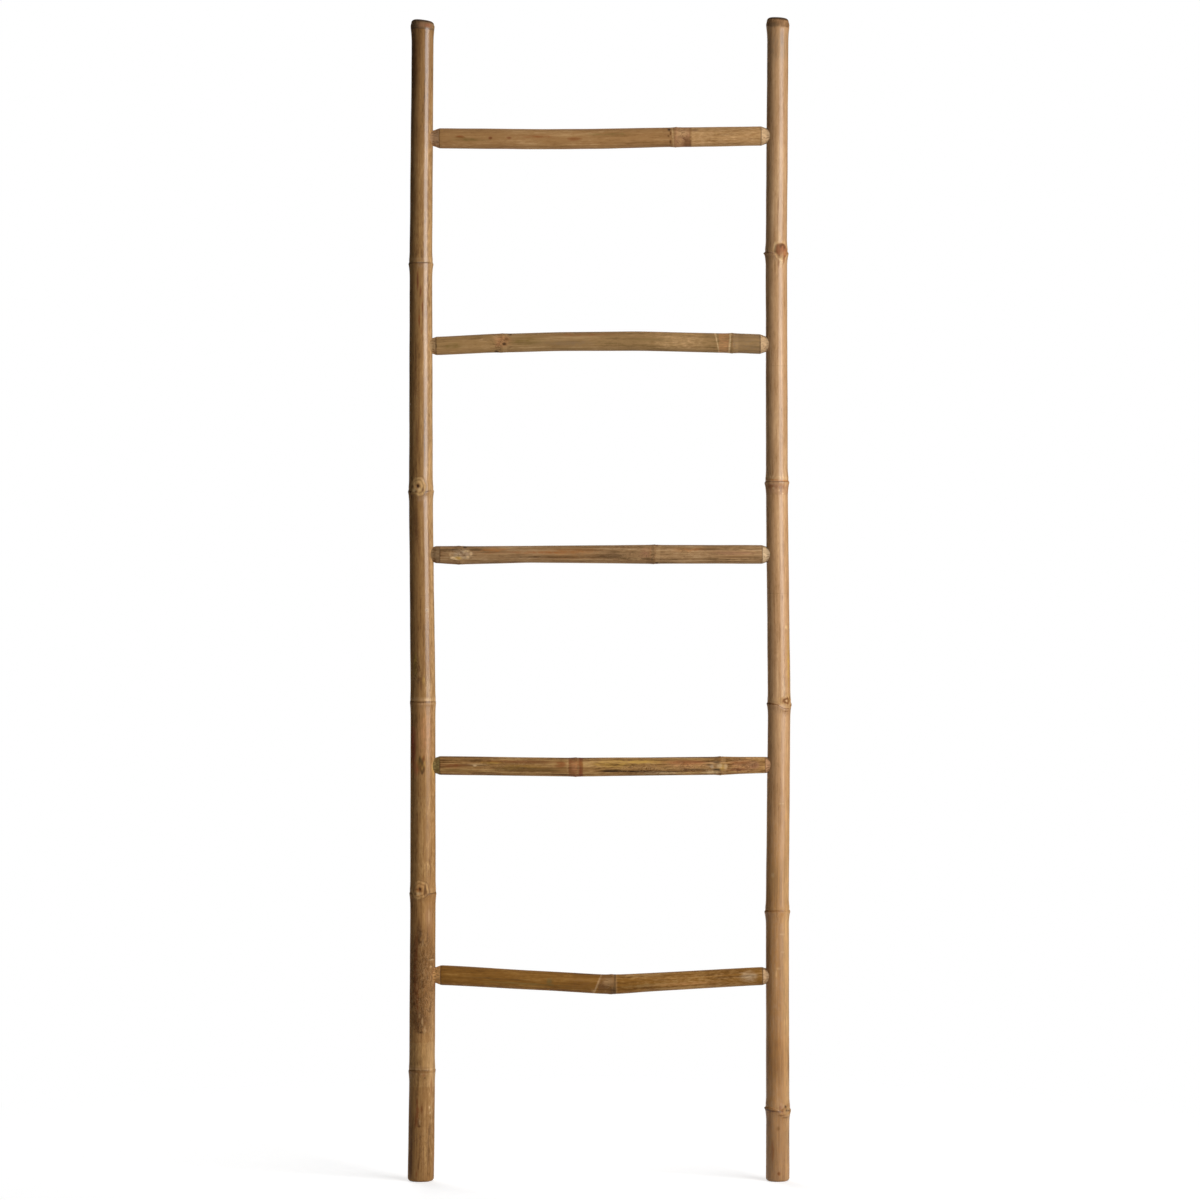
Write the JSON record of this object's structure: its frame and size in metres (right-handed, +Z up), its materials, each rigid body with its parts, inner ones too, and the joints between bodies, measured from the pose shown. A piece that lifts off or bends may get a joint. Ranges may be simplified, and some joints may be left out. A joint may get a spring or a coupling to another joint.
{
  "type": "bamboo towel ladder",
  "caption": "Leaning towel ladder of natural bamboo: slightly crooked round poles with raised nodes, joined by round rungs whose coned ends sit in drilled holes.",
  "frame": {"origin": "on the floor under the middle of the ladder, midway between the poles", "axes": "+Z up along the poles, +X to the right across the ladder, +Y to the back, where the wall is; the ladder is upright, as in the picture"},
  "size_m": [0.4952, 0.0366, 1.5],
  "materials": {
    "dark_bamboo": "satin",
    "light_bamboo": "satin",
    "rung_bamboo": "matt",
    "peg_bamboo": "matt"
  },
  "bodies": {
    "root": {"left_pole": "dark_bamboo", "right_pole": "light_bamboo", "top_rung": "rung_bamboo", "upper_rung": "rung_bamboo", "middle_rung": "rung_bamboo", "lower_rung": "rung_bamboo", "bottom_rung": "rung_bamboo", "top_rung_left_peg": "peg_bamboo", "top_rung_right_peg": "peg_bamboo", "upper_rung_left_peg": "peg_bamboo", "upper_rung_right_peg": "peg_bamboo", "middle_rung_left_peg": "peg_bamboo", "middle_rung_right_peg": "peg_bamboo", "lower_rung_left_peg": "peg_bamboo", "lower_rung_right_peg": "peg_bamboo", "bottom_rung_left_peg": "peg_bamboo", "bottom_rung_right_peg": "peg_bamboo"}
  },
  "joints": []
}
